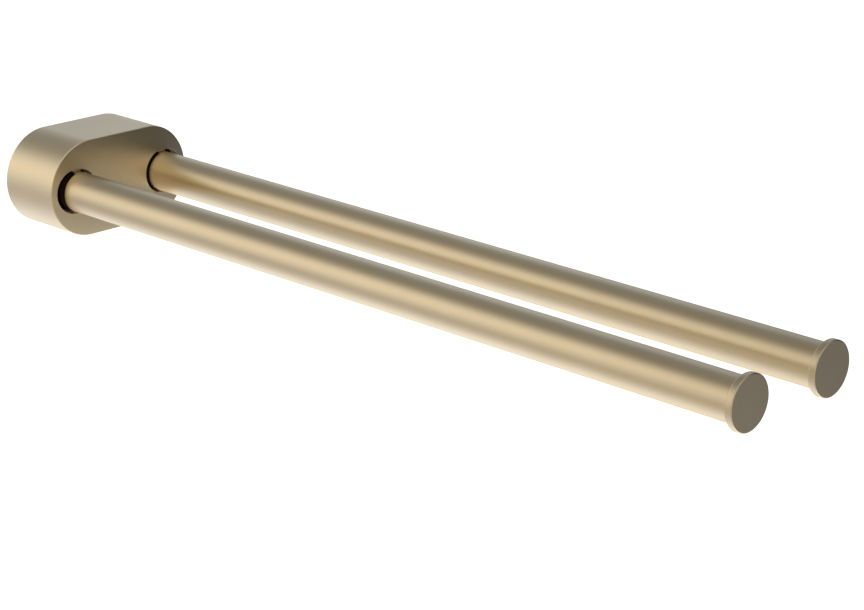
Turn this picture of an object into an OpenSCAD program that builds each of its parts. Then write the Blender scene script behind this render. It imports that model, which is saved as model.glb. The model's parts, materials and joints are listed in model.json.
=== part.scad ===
// Two-arm swing towel bar for a wall.
// Frame: origin on the wall at the middle of the block, +Z up, the arms point along -Y.
// Most pieces are drawn lying down (x right, y up, z out from the wall) and stood up by out().

/* [Wall block] */
// Width of the racetrack-shaped block
block_w = 86.5; // [85.5:0.5:96]
// Height of the block
block_h = 49; // [48:0.5:54]
// Depth of the block from the wall to the top of its crowned front face
block_d = 37.7; // [37:0.1:43]
// How much higher the middle of the front face is than its rim
crown = 1.6; // [0.4:0.1:1.8]
// Thickness of the block's side wall
wall_t = 2.5; // [2.2:0.1:2.6]
// Thickness of the block's front wall, in the middle
front_t = 4.7; // [4.5:0.1:5]
// Bevel round the front edge
front_bevel = 0.3; // [0.2:0.1:1]

/* [Arms] */
// Distance from the wall to the front of the end caps
arm_reach = 450; // [250:5:600]
// Outer diameter of an arm tube
tube_d = 20; // [18:0.5:20]
// Wall thickness of an arm tube
tube_t = 1.5; // [1:0.1:2]
// Distance between the two tube centres
arm_spacing = 55; // [54:0.5:56]

/* [End caps] */
// Diameter of the cap's rim
cap_d = 24.7; // [22:0.1:27]
// Thickness of the cap's rim
cap_t = 3.75; // [2.5:0.05:5]
// Bevel round the cap's front edge
cap_bevel = 0.4; // [0.2:0.05:0.8]
// Radius of the cap's back edge
cap_round = 1.1; // [0.4:0.1:1.6]

/* [Openings] */
// Clearance between a tube and its opening above and below
slot_gap = 1.2; // [1:0.05:1.2]
// Extra length of an opening towards the inside
slot_in = 0.2; // [0.2:0.1:0.6]
// Extra length of an opening towards the outside, which lets the arm swing
slot_out = 1.2; // [1.1:0.1:1.3]
// Thickness of the front lip before the plastic liner, in the middle
lip_t = 3.2; // [3:0.1:3.4]
// Width of the guide pads above and below an arm, and of the tube's two tongues that run between them
pad_w = 4.8; // [3:0.1:6]
// How far the tube's outer side notch reaches out past the front face, which clears the edge as the arm swings
notch_out = 1.3; // [0.2:0.1:3]
// How far its inner side notch reaches out past the front face
notch_in = 0.2; // [0.2:0.1:3]
// How far the guide pads lie behind the top of the front face
pad_back = 1; // [0.8:0.1:2.6]
// Clearance between an arm and its guide pads
pad_gap = 0.15; // [0.1:0.05:0.3]

/* [Pivots] */
// Distance from the top of the front face back to the pivot axes
pivot_back = 11.2; // [11.2:0.1:12]
// Diameter of the pivot bolt's shoulder
shoulder_d = 6; // [5:0.5:6]
// Radial clearance between the shoulder and the bushing
running_gap = 0.05; // [0.02:0.01:0.08]

/* [Wall fixing] */
// Distance between the two wall screw holes
wall_hole_spacing = 50; // [40:1:56]
// Diameter of a wall screw hole
wall_hole_d = 5.5; // [4:0.1:6]
// Thickness of the wall plate
plate_t = 4; // [3.6:0.1:4]
// Thickness of the gasket behind the wall plate
gasket_t = 1; // [0.6:0.1:1]

/* [Hidden] */
$fn = 96;
e = 0.01;
R = block_h / 2;                      // end radius of the block
A = block_w / 2 - R;                  // half the distance between the end centres
Ri = R - wall_t;                      // end radius of the hollow
hollow_z = block_d - front_t;         // where the front wall begins
tr = tube_d / 2;
tb = tr - tube_t;                     // bore radius of a tube
ax = arm_spacing / 2;                 // x of a tube centre
sr = tr + slot_gap;                   // end radius of an opening
so = (slot_out - slot_in) / 2;        // how far an opening's middle lies outside its tube's
sa = (slot_out + slot_in) / 2;        // half its straight length
lr = sr - 0.5;                        // inner end radius of the liner
lo = sr + 0.65;                       // outer end radius of its seat
plate_z = gasket_t + plate_t;         // front of the wall plate
pivot_y = block_d - pivot_back;       // distance from the wall to the pivot axes
eye_r = 5.6;
eye_h = 17;
flange_gap = 21;                      // between the bracket's two flanges
flange_t = 3;
flange_r = 5.2;
web_w = 28;                           // width of the bracket's web
tube_z0 = block_d - 1.5;              // rear end of a tube, just inside the opening
shoulder_z = pivot_y + 5.7;           // rear end of the knuckle's shoulder
tube_z1 = arm_reach - cap_t;          // front end of a tube
sh = shoulder_d / 2;
bush_r = sh + 1;
washer_r = 5;
boss_x = 8;
set_x = 12;
set_z = gasket_t + plate_t / 2;

GOLD = [0.72, 0.62, 0.45];
STEEL = [0.72, 0.73, 0.74];
DARKSTEEL = [0.5, 0.51, 0.52];
BLACK = [0.08, 0.08, 0.08];
BRONZE = [0.45, 0.33, 0.22];

// Stands up what was drawn lying down: x stays, y becomes up, z points out from the wall
module out() rotate([90, 0, 0]) children();

// A plain racetrack plate from z0 to z1, r = end radius, a = half the distance between the end centres
module track(r, a, z0, z1) {
  translate([0, 0, z0]) linear_extrude(height = z1 - z0) {
    translate([-a, 0]) circle(r);
    translate([a, 0]) circle(r);
    square([2 * a, 2 * r], center = true);
  }
}

// The crowned front's outline from the middle to the rim: r = rim radius, d = top, k = crown
function crown_line(r, d, k, n = 12) = [for (i = [0:n]) [r * i / n, d - k * pow(i / n, 2)]];
function mirrored(pts) = [for (p = pts) [-p[0], p[1]]];
function reversed(pts) = [for (i = [len(pts) - 1:-1:0]) pts[i]];

// The block's outer shape, with a crowned front and a bevel c round its front edge
module crowned_track(r, a, d, k, c) let (line = crown_line(r - c, d, k)) {
  for (s = [1, -1])
    translate([s * a, 0, 0]) rotate([0, 0, s > 0 ? -90 : 90])
      rotate_extrude(angle = 180) polygon(concat([[0, 0], [r, 0], [r, d - k - c]], reversed(line)));
  translate([-a, 0, 0]) rotate([90, 0, 90]) linear_extrude(height = 2 * a)
    polygon(concat([[-r, 0], [r, 0], [r, d - k - c]], reversed(line), [for (i = [1:len(line) - 1]) mirrored(line)[i]], [[-r, d - k - c]]));
}

// A plain rod along z
module rod(r, z0, z1) translate([0, 0, z0]) cylinder(r = r, h = z1 - z0);

// A plain rod along the upright axis (y while lying down), at depth z
module post(r, y0, y1, z) translate([0, y0, z]) rotate([-90, 0, 0]) cylinder(r = r, h = y1 - y0);

// Puts a piece of an arm at its arm: s = -1 left, 1 right. The right arm is the left one mirrored
module side(s) {
  if (s < 0) out() translate([-ax, 0, 0]) children();
  else mirror([1, 0, 0]) out() translate([-ax, 0, 0]) children();
}

module wall_gasket() color(BLACK) out() difference() {
  track(Ri - 0.4, A, 0, gasket_t);
  for (s = [-1, 1]) translate([s * wall_hole_spacing / 2, 0, 0]) rod(wall_hole_d / 2 + 0.5, -1, gasket_t + 1);
}

module wall_plate() color(STEEL) out() difference() {
  track(Ri - 0.1, A, gasket_t, plate_z);
  // wall screw holes, countersunk from the front
  for (s = [-1, 1]) translate([s * wall_hole_spacing / 2, 0, 0]) {
    rod(wall_hole_d / 2, 0, plate_z + 1);
    translate([0, 0, plate_z - 2.2]) cylinder(r1 = wall_hole_d / 2, r2 = wall_hole_d / 2 + 2.3, h = 2.3);
  }
  // seats for the tips of the set screws in the lower edge
  for (s = [-1, 1]) translate([s * set_x, 0, 0]) post(1.3, -Ri - 1, -Ri + 1.9, set_z);
}

module cover() color(GOLD) out() {
  difference() {
    crowned_track(R, A, block_d, crown, front_bevel);
    track(Ri, A, -1, hollow_z);
    for (s = [-1, 1]) {
      // opening for the arm, and the liner's seat behind the lip
      translate([s * (ax + so), 0, 0]) track(sr, sa, hollow_z - 2, block_d + 1);
      translate([s * (ax + so), 0, 0]) track(lo, sa, hollow_z - 1.2, block_d - lip_t);
      // set screw hole in the underside
      translate([s * set_x, 0, 0]) post(2, -R - 1, -Ri + 1, set_z);
    }
  }
  // bosses that the bracket is screwed to, blind holes open to the wall
  for (s = [-1, 1]) translate([s * boss_x, 0, 0]) difference() {
    rod(4.2, plate_z + 3.92, hollow_z + 0.5);
    rod(2, plate_z + 3, plate_z + 3.9 + 14);
  }
}

module cover_set_screws() color(DARKSTEEL) out() for (s = [-1, 1]) translate([s * set_x, 0, 0]) difference() {
  union() {
    post(1.98, -R + 0.3, -Ri + 0.05, set_z);
    post(1.2, -Ri, -Ri + 1.7, set_z);
  }
  // hex socket
  translate([0, -R, set_z]) rotate([-90, 0, 0]) cylinder(r = 1.15, h = 1.9, $fn = 6);
}

module pivot_bracket() color(STEEL) out() difference() {
  union() {
    // two flanges, above and below, that run from the web out to the pivots
    for (s = [-1, 1])
      translate([0, s * (flange_gap + flange_t) / 2, 0]) rotate([90, 0, 0]) {
        translate([0, 0, -flange_t / 2]) linear_extrude(height = flange_t) {
          for (q = [-1, 1]) translate([q * ax, pivot_y]) circle(flange_r);
          polygon([[-web_w / 2, plate_z + 0.4], [web_w / 2, plate_z + 0.4], [ax + 3.6, pivot_y - 3.75],
            [ax, pivot_y + flange_r], [-ax, pivot_y + flange_r], [-ax - 3.6, pivot_y - 3.75]]);
        }
      }
    // web, across the back
    translate([-web_w / 2, -flange_gap / 2 - e, plate_z + 0.4]) cube([web_w, flange_gap + 2 * e, 3.5]);
  }
  for (s = [-1, 1]) {
    translate([s * ax, 0, 0]) post(sh + 0.03, -flange_gap / 2 - flange_t - 1, flange_gap / 2 + flange_t + 1, pivot_y);
    translate([s * boss_x, 0, plate_z]) {
      rod(2.15, 0, 5);
      translate([0, 0, 0.3]) cylinder(r1 = 4.2, r2 = 2.15, h = 2.1);
    }
  }
}

module bracket_screws() color(DARKSTEEL) out() for (s = [-1, 1]) translate([s * boss_x, 0, plate_z]) difference() {
  union() {
    translate([0, 0, 0.45]) cylinder(r1 = 3.95, r2 = 1.95, h = 2.05);
    rod(1.95, 2.4, 15);
  }
  translate([0, 0, 0]) cylinder(r = 1.45, h = 1.9, $fn = 6);
}

// A ring behind the front lip, with two guide pads that reach forward into the opening
module slot_liner(s) color(BRONZE) side(s) {
  translate([-so, 0, 0]) difference() {
    track(lo - 0.05, sa, hollow_z - 1.1, block_d - lip_t - 0.02);
    track(lr, sa, hollow_z - 2, block_d);
  }
  intersection() {
    translate([-so, 0, 0]) track(sr - 0.05, sa, hollow_z - 1.1, block_d - pad_back);
    for (q = [-1, 1]) translate([-pad_w / 2, q > 0 ? tr + pad_gap : -lo, hollow_z - 2])
      cube([pad_w, lo - tr - pad_gap, front_t + 2]);
  }
}

module pivot_bolt(s) color(STEEL) side(s) let (f = flange_gap / 2 + flange_t) difference() {
  union() {
    post(4.6, f + 0.02, f + 2.6, pivot_y);
    post(sh, -f - 0.02, f + 0.1, pivot_y);
    post(2.5, -f - 3.4, -f, pivot_y);
  }
  translate([0, f + 0.9, pivot_y]) rotate([-90, 0, 0]) cylinder(r = 1.73, h = 3, $fn = 6);
}

module lock_nut(s) color(DARKSTEEL) side(s) let (f = flange_gap / 2 + flange_t) difference() {
  translate([0, -f - 2.75, pivot_y]) rotate([-90, 0, 0]) cylinder(r = 4.62, h = 2.7, $fn = 6);
  post(2.52, -f - 4, -f + 1, pivot_y);
}

module thrust_washer(s) color(STEEL) side(s) difference() {
  post(washer_r, flange_gap / 2 - 0.95, flange_gap / 2 - 0.05, pivot_y);
  post(sh + 0.15, 8, 12, pivot_y);
}

module disc_spring(s) color(DARKSTEEL) side(s) translate([0, 0, pivot_y]) rotate([-90, 0, 0])
  let (g = flange_gap / 2)
  rotate_extrude() polygon([[sh + 0.2, -g + 0.6], [washer_r, -g + 0.05], [washer_r, -g + 0.4], [sh + 0.2, -g + 0.95]]);

// A plain tube whose rear end is notched on both sides, which leaves a tongue above and below
module tube(s) color(GOLD) side(s) difference() {
  rod(tr, tube_z0, tube_z1);
  rod(tb, tube_z0 - 1, tube_z1 + 1);
  for (q = [-1, 1]) translate([q * (pad_w / 2 + tr), 0, block_d + (q < 0 ? notch_out : notch_in) - tr]) cube(2 * tr, center = true);
}

module end_cap(s) color(GOLD) side(s) translate([0, 0, tube_z1]) rotate_extrude()
  let (r = cap_d / 2, q = cap_round)
  polygon(concat(
    [[0, -12], [tb - 0.5, -12], [tb - 0.05, -11.5], [tb - 0.05, 0.02]],
    [for (i = [0:6]) [r - q + q * sin(i * 15), 0.02 + q - q * cos(i * 15)]],
    [[r, cap_t - cap_bevel], [r - cap_bevel, cap_t], [0, cap_t]]));

// An eye on the upright pivot, a shoulder that the tube stands on, and a spigot that is screwed and bonded into it
module knuckle(s) color(BLACK) side(s) difference() {
  union() {
    post(eye_r, -eye_h / 2, eye_h / 2, pivot_y);
    rod(tb - 0.05, pivot_y + 2.6, tube_z0 + 16);
    rod(tr, shoulder_z, tube_z0 - 0.02);
  }
  post(bush_r, -eye_h, eye_h, pivot_y);
}

module upper_bushing(s) color(BLACK) side(s) difference() {
  union() {
    post(washer_r, eye_h / 2 + 0.02, eye_h / 2 + 1, pivot_y);
    post(bush_r - 0.02, 1, eye_h / 2 + 0.5, pivot_y);
  }
  post(sh + running_gap, 0, eye_h, pivot_y);
}

module lower_bushing(s) color(BLACK) side(s) difference() {
  union() {
    post(washer_r, -eye_h / 2 - 1, -eye_h / 2 - 0.02, pivot_y);
    post(bush_r - 0.02, -eye_h / 2 - 0.5, -1, pivot_y);
  }
  post(sh + running_gap, -eye_h, 0, pivot_y);
}

wall_gasket();
wall_plate();
cover();
cover_set_screws();
pivot_bracket();
bracket_screws();
slot_liner(-1);  // left_slot_liner
slot_liner(1);  // right_slot_liner
pivot_bolt(-1);  // left_pivot_bolt
pivot_bolt(1);  // right_pivot_bolt
lock_nut(-1);  // left_lock_nut
lock_nut(1);  // right_lock_nut
thrust_washer(-1);  // left_thrust_washer
thrust_washer(1);  // right_thrust_washer
disc_spring(-1);  // left_disc_spring
disc_spring(1);  // right_disc_spring
tube(-1);  // left_tube
tube(1);  // right_tube
end_cap(-1);  // left_end_cap
end_cap(1);  // right_end_cap
knuckle(-1);  // left_knuckle
knuckle(1);  // right_knuckle
upper_bushing(-1);  // left_upper_bushing
upper_bushing(1);  // right_upper_bushing
lower_bushing(-1);  // left_lower_bushing
lower_bushing(1);  // right_lower_bushing
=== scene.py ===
import json
import math

import bpy
from mathutils import Matrix, Vector
from mathutils.geometry import delaunay_2d_cdt


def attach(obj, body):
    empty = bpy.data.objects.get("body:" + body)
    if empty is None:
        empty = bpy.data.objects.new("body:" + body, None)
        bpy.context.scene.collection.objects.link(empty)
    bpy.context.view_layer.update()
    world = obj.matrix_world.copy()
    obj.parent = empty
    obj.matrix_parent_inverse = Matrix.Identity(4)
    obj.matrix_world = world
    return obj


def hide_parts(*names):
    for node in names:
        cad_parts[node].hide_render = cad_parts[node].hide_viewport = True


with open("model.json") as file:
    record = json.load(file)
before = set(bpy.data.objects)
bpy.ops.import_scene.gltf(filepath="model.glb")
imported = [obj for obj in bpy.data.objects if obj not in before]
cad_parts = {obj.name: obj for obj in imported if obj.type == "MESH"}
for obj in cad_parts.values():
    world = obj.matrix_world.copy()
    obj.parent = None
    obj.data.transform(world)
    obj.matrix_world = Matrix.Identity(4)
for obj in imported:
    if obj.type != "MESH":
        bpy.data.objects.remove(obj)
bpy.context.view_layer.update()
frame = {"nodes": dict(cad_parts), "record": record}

scene = bpy.context.scene

# ---------------------------------------------------------------- dimensions of the object, in millimetres
# Pieces are drawn lying down, x right, y up, z out from the wall, and stood up by place().
BLOCK_W, BLOCK_H, BLOCK_D, CROWN = 86.5, 49.0, 37.7, 1.6
WALL_T, FRONT_T, FRONT_BEVEL = 2.5, 4.7, 0.3
REACH, TUBE_D, TUBE_T, SPACING = 450.0, 20.0, 1.5, 55.0
CAP_D, CAP_T, CAP_BEVEL, CAP_ROUND = 24.7, 3.75, 0.4, 1.1
SLOT_GAP, SLOT_IN, SLOT_OUT, LIP_T = 1.2, 0.2, 1.2, 3.2
PAD_W, NOTCH_OUT, NOTCH_IN = 4.8, 1.3, 0.2
PIVOT = BLOCK_D - 11.2
R = BLOCK_H / 2
A = BLOCK_W / 2 - R
RI = R - WALL_T
HOLLOW = BLOCK_D - FRONT_T
TR = TUBE_D / 2
TB = TR - TUBE_T
AX = SPACING / 2
SR = TR + SLOT_GAP
SC = AX + (SLOT_OUT - SLOT_IN) / 2
SA = (SLOT_OUT + SLOT_IN) / 2
RIM = R - FRONT_BEVEL
LO = SR + 0.65
PLATE_Z0, PLATE_Z1 = 1.0, 5.0
TUBE_Z0 = BLOCK_D - 1.5
TUBE_Z1 = REACH - CAP_T


def place(x, y, z):
    return Vector((x, -z, y)) / 1000.0


def turn(x, y, z):
    return Vector((x, -z, y))


# ---------------------------------------------------------------- mesh building
class Skin:
    """Vertices with their true normals, and faces; every edge is rounded, so one normal per vertex is enough."""

    def __init__(self):
        self.v, self.n, self.f = [], [], []

    def pt(self, x, y, z, nx, ny, nz):
        self.v.append((x, y, z))
        length = math.sqrt(nx * nx + ny * ny + nz * nz) or 1.0
        self.n.append((nx / length, ny / length, nz / length))
        return len(self.v) - 1

    def band(self, a, b, skip=()):
        """Quads between two closed rings of the same length, or triangles where one ring is a single point."""
        if len(a) == 1 and len(b) == 1:
            return
        if len(a) == 1 or len(b) == 1:
            tip, ring = (a[0], b) if len(a) == 1 else (b[0], a)
            for i in range(len(ring)):
                self.face(tip, ring[i], ring[(i + 1) % len(ring)])
            return
        for i in range(len(a)):
            if i in skip:
                continue
            j = (i + 1) % len(a)
            self.face(a[i], a[j], b[j], b[i])

    def face(self, *idx):
        """Turned so that it faces the way its vertices' normals do."""
        idx = [i for k, i in enumerate(idx) if i != idx[k - 1]]
        if len(idx) < 3:
            return
        p = [Vector(self.v[i]) for i in idx]
        g = Vector((0, 0, 0))
        for k in range(1, len(p) - 1):
            g += (p[k] - p[0]).cross(p[k + 1] - p[0])
        want = sum((Vector(self.n[i]) for i in idx), Vector((0, 0, 0)))
        if g.dot(want) < 0:
            idx = idx[::-1]
        self.f.append(tuple(idx))

    def fill(self, outer, holes, step, to3d):
        """Fills a region given in 2-D (u, v) with even triangles. Loops are lists of ((u, v), vertex index); to3d
        gives the six numbers of pt() for a new inner point."""
        pts, ids, edges = [], [], []
        for loop in [outer, *holes]:
            base = len(pts)
            for (u, v), i in loop:
                pts.append(Vector((u, v)))
                ids.append(i)
            edges += [(base + k, base + (k + 1) % len(loop)) for k in range(len(loop))]

        def inside(u, v, loop):
            odd = False
            for k in range(len(loop)):
                (u0, v0), (u1, v1) = loop[k][0], loop[k - 1][0]
                if (v0 > v) != (v1 > v) and u < (u1 - u0) * (v - v0) / (v1 - v0) + u0:
                    odd = not odd
            return odd

        def clear(u, v, room):
            for (ax_, ay_), (bx_, by_) in rim:
                dx, dy = bx_ - ax_, by_ - ay_
                k = max(0.0, min(1.0, ((u - ax_) * dx + (v - ay_) * dy) / (dx * dx + dy * dy)))
                if (ax_ + k * dx - u) ** 2 + (ay_ + k * dy - v) ** 2 < room * room:
                    return False
            return True

        rim = [(tuple(pts[i]), tuple(pts[j])) for i, j in edges]
        us, vs = [p.x for p in pts], [p.y for p in pts]
        rows = int((max(vs) - min(vs)) / (step * 0.866)) + 1
        cols = int((max(us) - min(us)) / step) + 2
        for r in range(rows + 1):
            v = min(vs) + (r + 0.5) * step * 0.866
            for c in range(cols + 1):
                u = min(us) + (c + 0.5 * (r % 2)) * step
                if inside(u, v, outer) and not any(inside(u, v, h) for h in holes) and clear(u, v, 0.6 * step):
                    pts.append(Vector((u, v)))
                    ids.append(self.pt(*to3d(u, v)))
        _, _, faces, orig, _, _ = delaunay_2d_cdt(pts, edges, [], 1, 1e-7)
        out_pts = [pts[o[0]] for o in orig]
        for tri in faces:
            cu = sum(out_pts[i].x for i in tri) / 3
            cv = sum(out_pts[i].y for i in tri) / 3
            if inside(cu, cv, outer) and not any(inside(cu, cv, h) for h in holes):
                self.face(*[ids[orig[i][0]] for i in tri])

    def build(self, name, body, nodes, material, mirror=False):
        mesh = bpy.data.meshes.new(name)
        s = -1 if mirror else 1
        used = sorted({i for f in self.f for i in f})
        new = {i: k for k, i in enumerate(used)}
        self.v, self.n = [self.v[i] for i in used], [self.n[i] for i in used]
        self.f = [tuple(new[i] for i in f) for f in self.f]
        faces = [f[::-1] for f in self.f] if mirror else self.f
        mesh.from_pydata([place(s * x, y, z) for x, y, z in self.v], [], faces)
        mesh.polygons.foreach_set("use_smooth", [True] * len(mesh.polygons))
        mesh.update()
        mesh.normals_split_custom_set_from_vertices([turn(s * x, y, z) for x, y, z in self.n])
        mesh.validate(clean_customdata=False)
        obj = bpy.data.objects.new(name, mesh)
        scene.collection.objects.link(obj)
        mesh.materials.append(material)
        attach(obj, body)
        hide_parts(*nodes)
        return obj


def stadium(r, a, cx=0.0, arc=64, straight=12):
    """A closed ring of (x, y, nx, ny): the right end, the top, the left end, the bottom."""
    out = []
    for k in range(arc + 1):
        t = -math.pi / 2 + math.pi * k / arc
        out.append((cx + a + r * math.cos(t), r * math.sin(t), math.cos(t), math.sin(t)))
    for k in range(1, straight):
        out.append((cx + a - 2 * a * k / straight, r, 0.0, 1.0))
    for k in range(arc + 1):
        t = math.pi / 2 + math.pi * k / arc
        out.append((cx - a + r * math.cos(t), r * math.sin(t), math.cos(t), math.sin(t)))
    for k in range(1, straight):
        out.append((cx - a + 2 * a * k / straight, -r, 0.0, -1.0))
    return out


def rounded(pts, radii, side, seg=5):
    """A path of (rho, z) corners with rounded corners, as (rho, z, n_rho, n_z); side 1 has the normals on the right of
    the way it runs, and -1 on the left."""
    out = []

    def unit(p, q):
        d = math.hypot(q[0] - p[0], q[1] - p[1])
        return ((q[0] - p[0]) / d, (q[1] - p[1]) / d)

    def normal(d):
        return (side * d[1], -side * d[0])

    for i, p in enumerate(pts):
        if i == 0:
            out.append((*p, *normal(unit(p, pts[1]))))
            continue
        a = unit(pts[i - 1], p)
        if i == len(pts) - 1:
            out.append((*p, *normal(a)))
            continue
        b = unit(p, pts[i + 1])
        cross = a[0] * b[1] - a[1] * b[0]
        theta = math.atan2(cross, a[0] * b[0] + a[1] * b[1])
        r = radii[i]
        t = r * math.tan(abs(theta) / 2)
        s = (p[0] - a[0] * t, p[1] - a[1] * t)
        turn_left = 1 if theta > 0 else -1
        c = (s[0] - turn_left * a[1] * r, s[1] + turn_left * a[0] * r)
        for k in range(seg + 1):
            phi = theta * k / seg
            dx, dy = s[0] - c[0], s[1] - c[1]
            q = (c[0] + dx * math.cos(phi) - dy * math.sin(phi), c[1] + dx * math.sin(phi) + dy * math.cos(phi))
            d = (a[0] * math.cos(phi) - a[1] * math.sin(phi), a[0] * math.sin(phi) + a[1] * math.cos(phi))
            out.append((*q, *normal(d)))
    return out


def along(path, step):
    """Adds points on the long straight stretches of a path."""
    out = [path[0]]
    for p, q in zip(path, path[1:]):
        n = int(math.hypot(q[0] - p[0], q[1] - p[1]) / step)
        for k in range(1, n):
            t = k / n
            out.append(tuple(p[j] + (q[j] - p[j]) * t for j in range(4)))
        out.append(q)
    return out


def track_rings(skin, path, a, cx=0.0, arc=64, straight=12):
    """One ring for each point of a path of (radius, z, n_rho, n_z) round a racetrack."""
    rings = []
    for rho, z, nr, nz in path:
        rings.append([skin.pt(x, y, z, nx * nr, ny * nr, nz) for x, y, nx, ny in stadium(rho, a, cx, arc, straight)])
    return rings


def lathe_rings(skin, path, cx=0.0, cy=0.0, sides=96):
    rings = []
    for rho, z, nr, nz in path:
        if rho < 1e-6:
            rings.append([skin.pt(cx, cy, z, 0, 0, nz or 1.0)])
            continue
        ring = []
        for k in range(sides):
            t = 2 * math.pi * k / sides
            ring.append(skin.pt(cx + rho * math.cos(t), cy + rho * math.sin(t), z, math.cos(t) * nr, math.sin(t) * nr, nz))
        rings.append(ring)
    return rings


def bands(skin, rings, closed=False):
    for a, b in zip(rings, rings[1:]):
        skin.band(a, b)
    if closed:
        skin.band(rings[-1], rings[0])


def loop_xy(skin, ring):
    return [((skin.v[i][0], skin.v[i][1]), i) for i in ring]


# ---------------------------------------------------------------- materials
def tree_of(name):
    mat = bpy.data.materials.new(name)
    mat.use_nodes = True
    nt = mat.node_tree
    nt.nodes.clear()
    out = nt.nodes.new("ShaderNodeOutputMaterial")
    bsdf = nt.nodes.new("ShaderNodeBsdfPrincipled")
    nt.links.new(bsdf.outputs["BSDF"], out.inputs["Surface"])
    return mat, nt, bsdf


def node(nt, kind, inputs=None, **props):
    n = nt.nodes.new(kind)
    for k, v in props.items():
        setattr(n, k, v)
    for k, v in (inputs or {}).items():
        n.inputs[k].default_value = v
    return n


def streaks(nt, scale, detail=3.0):
    """Noise stretched by a scale of three numbers per metre, in the piece's own coordinates."""
    tc = node(nt, "ShaderNodeTexCoord")
    mp = node(nt, "ShaderNodeMapping")
    mp.inputs["Scale"].default_value = scale
    nz = node(nt, "ShaderNodeTexNoise", {"Scale": 1.0, "Detail": detail, "Roughness": 0.6})
    nt.links.new(tc.outputs["Object"], mp.inputs["Vector"])
    nt.links.new(mp.outputs["Vector"], nz.inputs["Vector"])
    return nz.outputs["Fac"]


def ramp(nt, fac, lo, hi, to_min, to_max):
    m = node(nt, "ShaderNodeMapRange", {"From Min": lo, "From Max": hi, "To Min": to_min, "To Max": to_max})
    nt.links.new(fac, m.inputs["Value"])
    return m.outputs["Result"]


def tint(nt, fac, c0, c1):
    m = node(nt, "ShaderNodeMix", data_type="RGBA")
    m.inputs["A"].default_value = (*c0, 1)
    m.inputs["B"].default_value = (*c1, 1)
    nt.links.new(fac, m.inputs["Factor"])
    return m.outputs["Result"]


GOLD = (0.75, 0.645, 0.4575)
GOLD_ROUGH = 0.42


def satin(name, line_scale, front_scale=None, painted_light_scale=1.0):
    """Satin champagne gold: fine brushed lines that run the way the piece was brushed, over a soft cloudiness. The
    last argument scales the gold into a lighter or darker copy, as painted light and shade for that piece.
    """
    mat, nt, b = tree_of(name)
    b.inputs["Metallic"].default_value = 1.0
    lines = streaks(nt, line_scale, 4.0)
    if front_scale:
        other = streaks(nt, front_scale, 4.0)
        tc = node(nt, "ShaderNodeTexCoord")
        sep = node(nt, "ShaderNodeSeparateXYZ")
        nt.links.new(tc.outputs["Normal"], sep.inputs["Vector"])
        pick = node(nt, "ShaderNodeMath", {1: -0.92}, operation="LESS_THAN")
        nt.links.new(sep.outputs["Y"], pick.inputs[0])
        mix = node(nt, "ShaderNodeMix", data_type="FLOAT")
        nt.links.new(pick.outputs[0], mix.inputs["Factor"])
        nt.links.new(lines, mix.inputs["A"])
        nt.links.new(other, mix.inputs["B"])
        lines = mix.outputs["Result"]
    cloud = streaks(nt, (55, 55, 55), 2.0)
    # the gold is scaled up or down here as painted light and shade
    c = tint(nt, ramp(nt, cloud, 0.3, 0.7, 0, 1), tuple(x * painted_light_scale * 0.985 for x in GOLD), tuple(x * painted_light_scale * 1.012 for x in GOLD))
    nt.links.new(c, b.inputs["Base Color"])
    nt.links.new(ramp(nt, lines, 0.25, 0.75, GOLD_ROUGH - 0.025, GOLD_ROUGH + 0.025), b.inputs["Roughness"])
    bump = node(nt, "ShaderNodeBump", {"Strength": 0.08, "Distance": 0.00002})
    nt.links.new(lines, bump.inputs["Height"])
    nt.links.new(bump.outputs["Normal"], b.inputs["Normal"])
    return mat


def metal(name, colour, rough, scale, spread=0.06, dirt=0.9):
    """Plain plated or turned metal with its working marks."""
    mat, nt, b = tree_of(name)
    b.inputs["Metallic"].default_value = 1.0
    lines = streaks(nt, scale, 4.0)
    cloud = streaks(nt, (140, 140, 140), 3.0)
    c = tint(nt, ramp(nt, cloud, 0.3, 0.7, 0, 1), tuple(x * dirt for x in colour), colour)
    nt.links.new(c, b.inputs["Base Color"])
    nt.links.new(ramp(nt, lines, 0.25, 0.75, rough - spread, rough + spread), b.inputs["Roughness"])
    bump = node(nt, "ShaderNodeBump", {"Strength": 0.25, "Distance": 0.00003})
    nt.links.new(lines, bump.inputs["Height"])
    nt.links.new(bump.outputs["Normal"], b.inputs["Normal"])
    return mat


def moulded(name, colour, rough, grain, depth, specular=0.4):
    """Plastic or rubber with a fine moulded grain."""
    mat, nt, b = tree_of(name)
    pattern = streaks(nt, (grain, grain, grain), 3.0)
    cloud = streaks(nt, (120, 120, 120), 2.0)
    c = tint(nt, ramp(nt, cloud, 0.3, 0.7, 0, 1), tuple(x * 0.85 for x in colour), tuple(x * 1.2 for x in colour))
    nt.links.new(c, b.inputs["Base Color"])
    nt.links.new(ramp(nt, pattern, 0.3, 0.7, rough - 0.08, rough + 0.08), b.inputs["Roughness"])
    b.inputs["Specular IOR Level"].default_value = specular
    bump = node(nt, "ShaderNodeBump", {"Strength": 0.4, "Distance": depth})
    nt.links.new(pattern, bump.inputs["Height"])
    nt.links.new(bump.outputs["Normal"], b.inputs["Normal"])
    return mat


# One satin gold finish in three copies: painted light on the block (5% lighter), painted shade on the tubes (about 3%
# darker) and caps (6% darker).
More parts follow.
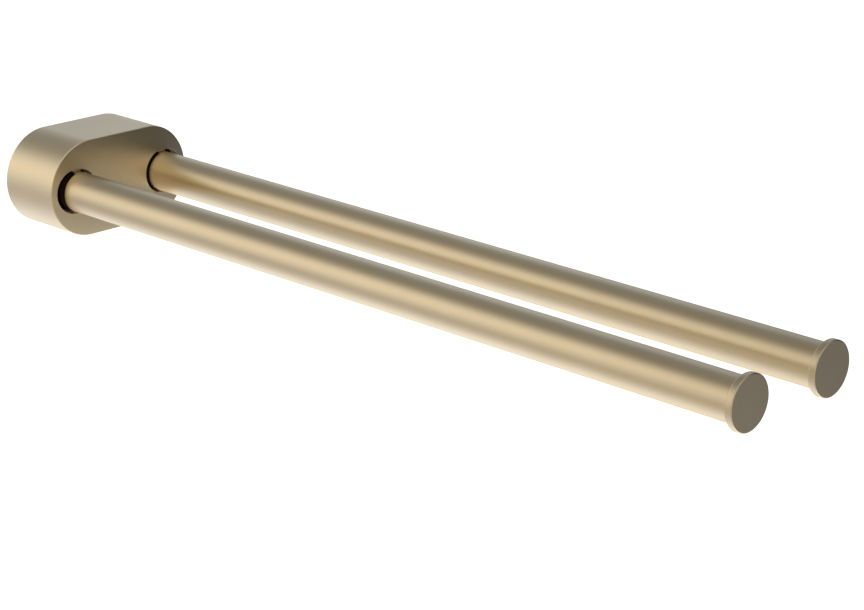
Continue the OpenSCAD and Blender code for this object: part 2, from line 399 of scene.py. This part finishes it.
GOLD_BLOCK = satin("satin_gold_block", (60, 9000, 60), (60, 9000, 9000), 1.05)
GOLD_TUBE = satin("satin_gold_tube", (60, 9000, 60), None, 0.973)
GOLD_CAP = satin("satin_gold_cap", (60, 9000, 60), (60, 9000, 9000), 0.94)
ZINC = metal("zinc_steel", (0.66, 0.67, 0.68), 0.38, (90, 3000, 3000))
DARK = metal("dark_steel", (0.42, 0.43, 0.44), 0.42, (3000, 3000, 3000))
# Near-black warm coat: partly the pieces' own black coating, partly painted shade, so that the gaps round the tube
# roots inside the openings read as deep shadow.
COAT_AND_GAP_SHADE = moulded("black_coated_steel", (0.014, 0.009, 0.005), 0.62, 5000, 0.00001, 0.2)
NYLON = moulded("black_nylon", (0.025, 0.025, 0.026), 0.55, 4000, 0.00002)
BRONZE = moulded("bronze_acetal", (0.4, 0.28, 0.18), 0.5, 4000, 0.00002)
RUBBER = moulded("gasket_rubber", (0.045, 0.045, 0.046), 0.85, 2500, 0.00005)
LOOKS = {"zinc_steel": ZINC, "dark_steel": DARK, "black_coated_steel": COAT_AND_GAP_SHADE, "black_nylon": NYLON, "gasket_rubber": RUBBER,
         "bronze_acetal": BRONZE,
         "satin_gold": GOLD_TUBE}

slot_of = {s["node"]: s["material_slot"] for s in frame["record"]["subparts"]}
for name, obj in frame["nodes"].items():
    for s in obj.material_slots:
        s.material = LOOKS[slot_of[name]]


# ---------------------------------------------------------------- the block's cover
def crown(x, y):
    """Height and slope of the gently crowned front face: z, n_x, n_y, n_z."""
    dx = math.copysign(max(abs(x) - A, 0.0), x)
    k = CROWN / RIM ** 2
    return BLOCK_D - k * (dx * dx + y * y), 2 * k * dx, 2 * k * y, 1.0


def make_cover():
    sk = Skin()
    # outside: from the front face over the bevel, down the side wall, round the back edge and up inside
    out_path = rounded([(RIM - 1.2, BLOCK_D - CROWN * ((RIM - 1.2) / RIM) ** 2), (RIM, BLOCK_D - CROWN),
                        (R, BLOCK_D - CROWN - FRONT_BEVEL), (R, 0), (RI, 0), (RI, HOLLOW), (RI - 0.08, HOLLOW)],
                       [0, 0.12, 0.12, 0.25, 0.2, 0.03, 0], -1)
    out_path = along(out_path, 5.0)
    rings = track_rings(sk, out_path[:-1], A)
    n = len(rings[0])
    # the flat underside is filled apart, round the two set screw holes
    under = [i for i in range(n) if abs(stadium(R, A)[i][3] + 1) < 1e-9 and abs(stadium(R, A)[(i + 1) % n][3] + 1) < 1e-9]

    outer_wall = [k for k, p in enumerate(out_path) if abs(p[0] - R) < 1e-6 and abs(p[2] - 1) < 1e-6]
    inner_wall = [k for k, p in enumerate(out_path) if abs(p[0] - RI) < 1e-6 and abs(p[2] + 1) < 1e-6]
    spans = {}
    for label, ks in (("outer", outer_wall), ("inner", inner_wall)):
        # the two rings that enclose the screw holes, z from 1.02 to 4.98 and a little more
        near = sorted(ks, key=lambda k: out_path[k][1])
        low, high = near[0], next(k for k in near if out_path[k][1] > 5.4)
        spans[label] = (min(low, high), max(low, high))
    for k in range(len(rings) - 1):
        in_span = any(a <= k < b for a, b in spans.values())
        sk.band(rings[k], rings[k + 1], skip=under if in_span else ())

    set_z = PLATE_Z0 + 2.0
    screw = {}
    for s in (-1, 1):
        pts_out = rounded([(3.2, R), (2.0, R), (2.0, RI), (3.2, RI)], [0, 0.2, 0.12, 0], 1, 4)[1:-1]
        rr = []
        for rho, h, nr, nh in pts_out:
            ring = []
            for k in range(40):
                t = 2 * math.pi * k / 40
                ring.append(sk.pt(s * 12 + rho * math.cos(t), -h, set_z + rho * math.sin(t),
                                  math.cos(t) * nr, -nh, math.sin(t) * nr))
            rr.append(ring)
        bands(sk, rr)
        screw[s] = (rr[0], rr[-1])
    for label, which, y, ny in (("outer", 0, -R, -1), ("inner", 1, -RI, 1)):
        a, b = spans[label]
        verts = under + [(under[-1] + 1) % n]
        bottom = [rings[a][i] for i in verts]
        top = [rings[b][i] for i in verts]
        left = [rings[k][verts[0]] for k in range(a + 1, b)]
        right = [rings[k][verts[-1]] for k in range(a + 1, b)]
        ring = bottom + right + top[::-1] + left[::-1]
        outer = [((sk.v[i][0], sk.v[i][2]), i) for i in ring]
        holes = [[((sk.v[i][0], sk.v[i][2]), i) for i in screw[s][which]] for s in (-1, 1)]
        sk.fill(outer, holes, 1.6, lambda u, v, y=y, ny=ny: (u, y, v, 0, ny, 0))

    # the two openings: an edge that follows the crowned face, the lip, the liner's seat, and out into the hollow
    edge = rounded([(SR + 1.0, 0), (SR, 0), (SR, -1)], [0, 0.15, 0], 1, 5)[1:-1]
    rear = rounded([(SR, BLOCK_D - LIP_T + 1), (SR, BLOCK_D - LIP_T), (LO, BLOCK_D - LIP_T), (LO, HOLLOW), (LO + 1.0, HOLLOW)],
                   [0, 0.1, 0.12, 0.02, 0], 1, 4)[1:-1]
    fronts, backs = [], []
    for s in (-1, 1):
        rr = []
        for rho, drop, nr, nz in edge:
            ring = []
            for x, y, nx, ny in stadium(rho, SA, s * SC, 56, 4):
                z, tx, ty, _ = crown(x, y)
                ring.append(sk.pt(x, y, z + drop, nx * nr + tx * nz, ny * nr + ty * nz, nz))
            rr.append(ring)
        rr += track_rings(sk, rear, SA, s * SC, 56, 4)
        bands(sk, rr)
        fronts.append(loop_xy(sk, rr[0]))
        backs.append(loop_xy(sk, rr[-1]))
    sk.fill(loop_xy(sk, rings[0]), fronts, 2.2, lambda u, v: (u, v, *crown(u, v)))
    # the two bosses behind the front wall, with their blind screw holes
    for s in (-1, 1):
        boss = rounded([(5.0, HOLLOW), (4.2, HOLLOW), (4.2, PLATE_Z1 + 3.92), (2.0, PLATE_Z1 + 3.92), (2.0, PLATE_Z1 + 17.9), (0, PLATE_Z1 + 17.9)],
                       [0, 0.4, 0.15, 0.15, 0.2, 0], -1, 4)
        rr = lathe_rings(sk, along(boss[1:], 5.0), s * 8, 0, 48)
        bands(sk, rr)
        backs.append(loop_xy(sk, rr[0]))
    sk.fill(loop_xy(sk, rings[-1]), backs, 2.6, lambda u, v: (u, v, HOLLOW, 0, 0, -1))
    return sk.build("block_cover", "block", ["cover"], GOLD_BLOCK)


make_cover()


# ---------------------------------------------------------------- arms
def tube_angles(sides=128):
    """Angles round a tube, and how far its rear end is notched there: not at all in the two tongues."""
    edge = math.asin(PAD_W / 2 / TR)
    small = math.radians(0.3)
    cuts = []
    for mid in (math.pi / 2, 3 * math.pi / 2):
        for q in (-1, 1):
            outside = math.cos(mid + q * edge) < 0
            cuts += [(mid + q * (edge - small), 0.0), (mid + q * (edge + small), NOTCH_OUT if outside else NOTCH_IN)]
    out = list(cuts)
    for k in range(sides):
        t = 2 * math.pi * k / sides
        if all(abs(t - c[0]) > 2.5 * small for c in cuts):
            tongue = abs(math.cos(t)) < math.sin(edge)
            out.append((t, 0.0 if tongue else NOTCH_OUT if math.cos(t) < 0 else NOTCH_IN))
    return sorted(out)


def make_tube(s):
    sk = Skin()
    path = rounded([(TB + 0.6, TUBE_Z1), (TR, TUBE_Z1), (TR, TUBE_Z0), (TB, TUBE_Z0), (TB, TUBE_Z1), (TB + 0.6, TUBE_Z1)],
                   [0, 0.15, 0.2, 0.2, 0.15, 0], -1, 4)
    depth = BLOCK_D - TUBE_Z0
    rings = []
    for rho, z, nr, nz in along(path[:-1], 12.0):
        rear = z < TUBE_Z0 + 0.21
        rings.append([sk.pt(-AX + rho * math.cos(t), rho * math.sin(t), z + (depth + cut if rear and cut else 0.0),
                            math.cos(t) * nr, math.sin(t) * nr, nz) for t, cut in tube_angles()])
    bands(sk, rings, closed=True)
    side = "left" if s < 0 else "right"
    return sk.build(side + "_arm_tube", side + "_arm", [side + "_tube"], GOLD_TUBE, mirror=s > 0)


def make_cap(s):
    sk = Skin()
    r = CAP_D / 2
    z = TUBE_Z1
    path = rounded([(0, z - 12), (TB - 0.5, z - 12), (TB - 0.05, z - 11.5), (TB - 0.05, z + 0.02), (r, z + 0.02),
                    (r, z + CAP_T - CAP_BEVEL), (r - CAP_BEVEL, z + CAP_T), (0, z + CAP_T)],
                   [0, 0.1, 0.1, 0.05, CAP_ROUND, 0.1, 0.1, 0], 1, 6)
    rings = lathe_rings(sk, along(path, 2.5), -AX, 0, 128)
    bands(sk, rings)
    side = "left" if s < 0 else "right"
    return sk.build(side + "_arm_cap", side + "_arm", [side + "_end_cap"], GOLD_CAP, mirror=s > 0)


for s in (-1, 1):
    make_tube(s)
    make_cap(s)


# ---------------------------------------------------------------- the wall side
def make_gasket():
    sk = Skin()
    edge = rounded([(RI - 1.6, 0), (RI - 0.4, 0), (RI - 0.4, 1), (RI - 1.6, 1)], [0, 0.3, 0.3, 0], 1, 4)
    rings = track_rings(sk, edge, A, 0, 64, 12)
    bands(sk, rings)
    lo, hi = [], []
    for s in (-1, 1):
        hole = rounded([(4.2, 1), (3.25, 1), (3.25, 0), (4.2, 0)], [0, 0.2, 0.2, 0], 1, 3)
        rr = lathe_rings(sk, hole[1:-1], s * 25, 0, 48)
        bands(sk, rr)
        hi.append(loop_xy(sk, rr[0]))
        lo.append(loop_xy(sk, rr[-1]))
    sk.fill(loop_xy(sk, rings[0]), lo, 2.6, lambda u, v: (u, v, 0, 0, 0, -1))
    sk.fill(loop_xy(sk, rings[-1]), hi, 2.6, lambda u, v: (u, v, 1, 0, 0, 1))
    return sk.build("wall_seal", "block", ["wall_gasket"], RUBBER)


make_gasket()

# ---------------------------------------------------------------- camera
AZ, EL, ROLL = -0.8150, 0.3265, 0.0133
back = Vector((math.sin(AZ) * math.cos(EL), -math.cos(AZ) * math.cos(EL), math.sin(EL)))
right = (-back).cross(Vector((0, 0, 1))).normalized()
up = right.cross(-back)
r2 = math.cos(ROLL) * right + math.sin(ROLL) * up
u2 = -math.sin(ROLL) * right + math.cos(ROLL) * up
F_PX = 2488.8
location = (Vector((0, -200, 0)) + 39.1431 * right - 24.9588 * up + back * 1147.68) / 1000
ahead = (-back - 0.5 / F_PX * r2 + 0.5 / F_PX * u2).normalized()
side_axis = (r2 - r2.dot(ahead) * ahead).normalized()
cam_data = bpy.data.cameras.new("photo_camera")
cam_data.sensor_width = 36.0
cam_data.lens = F_PX / 864 * 36.0
cam_data.clip_start, cam_data.clip_end = 0.05, 100
cam = bpy.data.objects.new("photo_camera", cam_data)
scene.collection.objects.link(cam)
up_axis = side_axis.cross(ahead)
rot = Matrix((side_axis, up_axis, -ahead)).transposed()
cam.matrix_world = Matrix.Translation(location) @ rot.to_4x4()
scene.camera = cam

# ---------------------------------------------------------------- studio
# Soft lights all round: the direction of each, how tight its glow is, and its colour
STUDIO = [
    # behind, round the arms
    ((0.76, 0.65, 0.00), 60, (0.34, 0.36, 0.42)),
    ((0.71, 0.65, 0.26), 60, (0.53, 0.60, 0.73)),
    ((0.58, 0.65, 0.49), 60, (0.53, 0.55, 0.58)),
    ((0.13, 0.65, 0.75), 60, (0.28, 0.30, 0.32)),
    ((-0.38, 0.65, 0.66), 60, (0.29, 0.25, 0.18)),
    ((-0.58, 0.65, 0.49), 60, (1.09, 1.11, 1.13)),
    ((-0.71, 0.65, 0.26), 60, (1.34, 1.12, 0.83)),
    ((-0.76, 0.65, 0.00), 60, (0.80, 0.87, 0.96)),
    ((-0.71, 0.65, -0.26), 60, (0.37, 0.32, 0.24)),
    ((-0.58, 0.65, -0.49), 60, (0.29, 0.32, 0.41)),
    ((-0.38, 0.65, -0.66), 60, (0.49, 0.50, 0.54)),
    ((-0.13, 0.65, -0.75), 60, (0.64, 0.66, 0.80)),
    ((0.13, 0.65, -0.75), 60, (0.78, 0.87, 1.03)),
    ((0.38, 0.65, -0.66), 60, (0.68, 0.69, 0.62)),
    ((0.58, 0.65, -0.49), 60, (0.61, 0.46, 0.24)),
    ((0.00, 1.00, 0.00), 30, (1.50, 1.55, 1.75)),
    # below and behind
    ((-0.82, 0.20, -0.53), 24, (0.38, 0.23, 0.00)),
    ((-0.41, 0.20, -0.89), 24, (0.54, 0.52, 0.41)),
    ((0.14, 0.20, -0.97), 24, (0.65, 0.53, 0.46)),
    ((0.64, 0.20, -0.74), 24, (0.66, 0.60, 0.32)),
    # round the middle
    ((0.40, -0.30, 0.87), 24, (0.48, 0.52, 0.41)),
    ((-0.14, -0.30, 0.94), 24, (1.07, 0.91, 0.79)),
    ((-0.62, -0.30, 0.72), 24, (0.58, 0.36, 0.08)),
    ((-0.92, -0.30, 0.27), 24, (0.70, 0.58, 0.12)),
    ((-0.62, -0.30, -0.72), 24, (0.39, 0.38, 0.34)),
    ((-0.14, -0.30, -0.94), 24, (0.45, 0.47, 0.65)),
    ((0.40, -0.30, -0.87), 24, (1.72, 1.65, 1.66)),
    ((0.80, -0.30, -0.52), 24, (0.00, 0.03, 0.12)),
    # in front
    ((-0.25, -0.75, 0.61), 24, (0.29, 0.38, 0.53)),
    ((-0.61, -0.75, 0.25), 24, (0.54, 0.55, 0.65)),
    ((-0.61, -0.75, -0.25), 24, (0.43, 0.42, 0.28)),
    ((-0.25, -0.75, -0.61), 24, (0.31, 0.21, 0.28)),
    ((0.25, -0.75, -0.61), 24, (0.41, 0.40, 0.25)),
]
AMBIENT = 0.01

scene.view_settings.view_transform = "Standard"
world = bpy.data.worlds.new("studio")
scene.world = world
world.use_nodes = True
wn = world.node_tree
wn.nodes.clear()
tc = node(wn, "ShaderNodeTexCoord")
total = None
for direction, tight, colour in STUDIO:
    dot = node(wn, "ShaderNodeVectorMath", {1: direction}, operation="DOT_PRODUCT")
    wn.links.new(tc.outputs["Generated"], dot.inputs[0])
    half = node(wn, "ShaderNodeMath", {1: 0.5, 2: 0.5}, operation="MULTIPLY_ADD")
    wn.links.new(dot.outputs["Value"], half.inputs[0])
    glow = node(wn, "ShaderNodeMath", {1: tight}, operation="POWER")
    wn.links.new(half.outputs[0], glow.inputs[0])
    add = node(wn, "ShaderNodeVectorMath", {1: colour, 2: (AMBIENT,) * 3}, operation="MULTIPLY_ADD")
    wn.links.new(glow.outputs[0], add.inputs[0])
    if total is not None:
        wn.links.new(total, add.inputs[2])
    total = add.outputs["Vector"]
soft = node(wn, "ShaderNodeBackground")
wn.links.new(total, soft.inputs["Color"])
white = node(wn, "ShaderNodeBackground", {"Color": (1, 1, 1, 1)})
path = node(wn, "ShaderNodeLightPath")
pick = node(wn, "ShaderNodeMixShader")
wn.links.new(path.outputs["Is Camera Ray"], pick.inputs["Fac"])
wn.links.new(soft.outputs[0], pick.inputs[1])
wn.links.new(white.outputs[0], pick.inputs[2])
world_out = node(wn, "ShaderNodeOutputWorld")
wn.links.new(pick.outputs[0], world_out.inputs["Surface"])

# a plain pale floor, well below the part
mesh = bpy.data.meshes.new("floor")
mesh.from_pydata([(-30, -30, -1.1), (30, -30, -1.1), (30, 30, -1.1), (-30, 30, -1.1)], [], [(0, 1, 2, 3)])
floor = bpy.data.objects.new("floor", mesh)
scene.collection.objects.link(floor)
floor.visible_diffuse = floor.visible_glossy = floor.visible_transmission = floor.visible_shadow = False
pale, pn, pb = tree_of("pale_floor")
pb.inputs["Base Color"].default_value = (0.9, 0.9, 0.9, 1)
pb.inputs["Roughness"].default_value = 0.9
pb.inputs["Emission Color"].default_value = (1, 1, 1, 1)
pb.inputs["Emission Strength"].default_value = 0.9
# the floor shows from above only, so that the part can be looked at from below
geo = node(pn, "ShaderNodeNewGeometry")
clear = node(pn, "ShaderNodeBsdfTransparent")
sides = node(pn, "ShaderNodeMixShader")
pn.links.new(geo.outputs["Backfacing"], sides.inputs["Fac"])
pn.links.new(pb.outputs["BSDF"], sides.inputs[1])
pn.links.new(clear.outputs["BSDF"], sides.inputs[2])
pale_out = next(n for n in pn.nodes if n.type == "OUTPUT_MATERIAL")
pn.links.new(sides.outputs["Shader"], pale_out.inputs["Surface"])
mesh.materials.append(pale)
